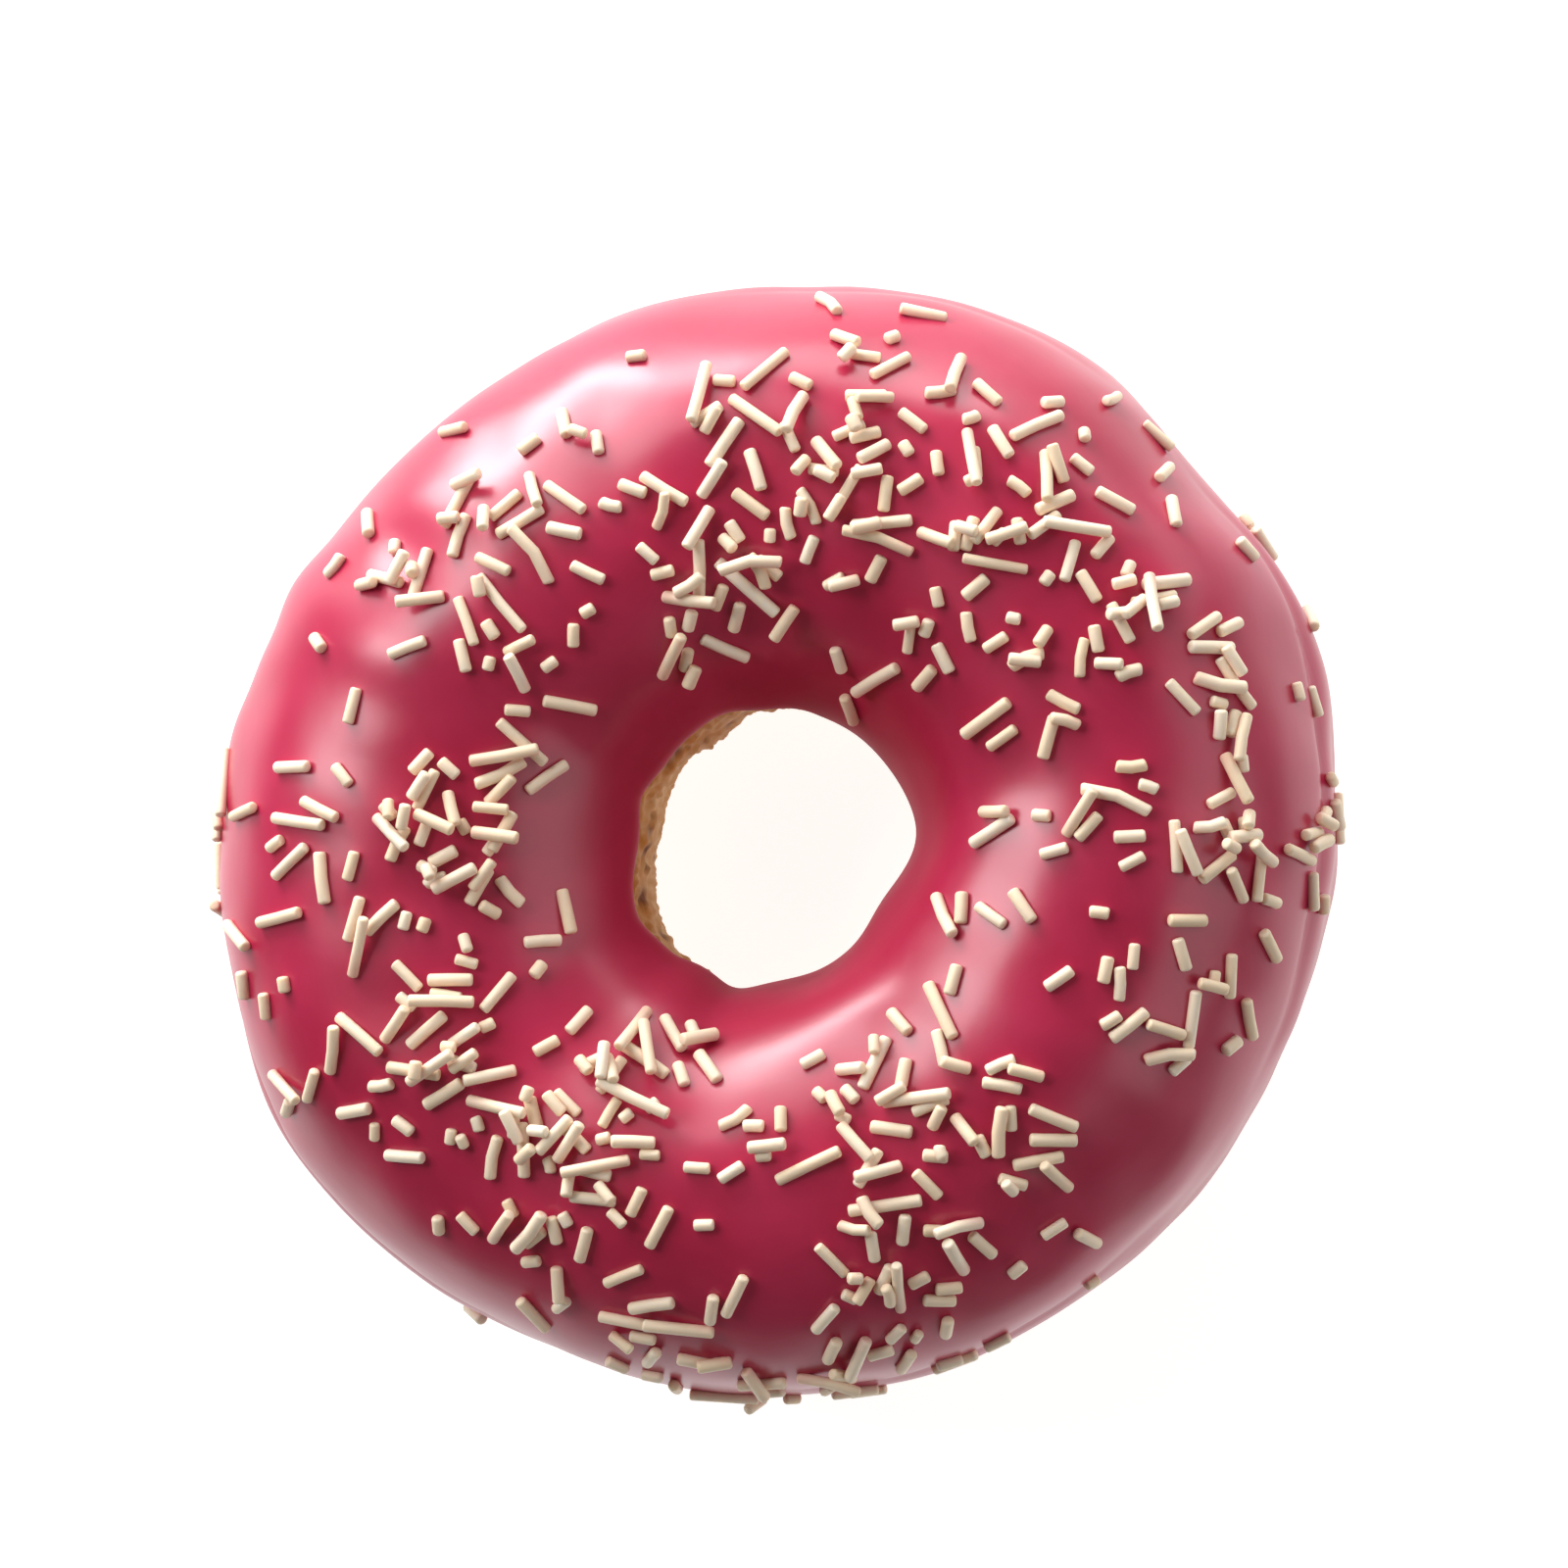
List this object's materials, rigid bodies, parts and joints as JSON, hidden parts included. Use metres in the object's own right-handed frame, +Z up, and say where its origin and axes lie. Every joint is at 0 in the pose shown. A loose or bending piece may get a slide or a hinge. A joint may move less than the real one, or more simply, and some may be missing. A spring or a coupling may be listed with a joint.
{
  "type": "sprinkle frosted doughnut",
  "caption": "Ring doughnut with pink icing over its top and sides, strewn with cream-coloured sugar strands.",
  "frame": {"origin": "middle of the ring's bounding box, at the level that it rests on", "axes": "+Z up along the ring's axis; seen from above, +X is to the right and +Y is up the picture"},
  "size_m": [0.0918, 0.09, 0.035],
  "materials": {
    "fried_dough": "matte",
    "pink_icing": "gloss",
    "sugar_strand": "satin"
  },
  "bodies": {
    "root": {"dough_ring": "fried_dough", "icing": "pink_icing"}
  },
  "joints": []
}
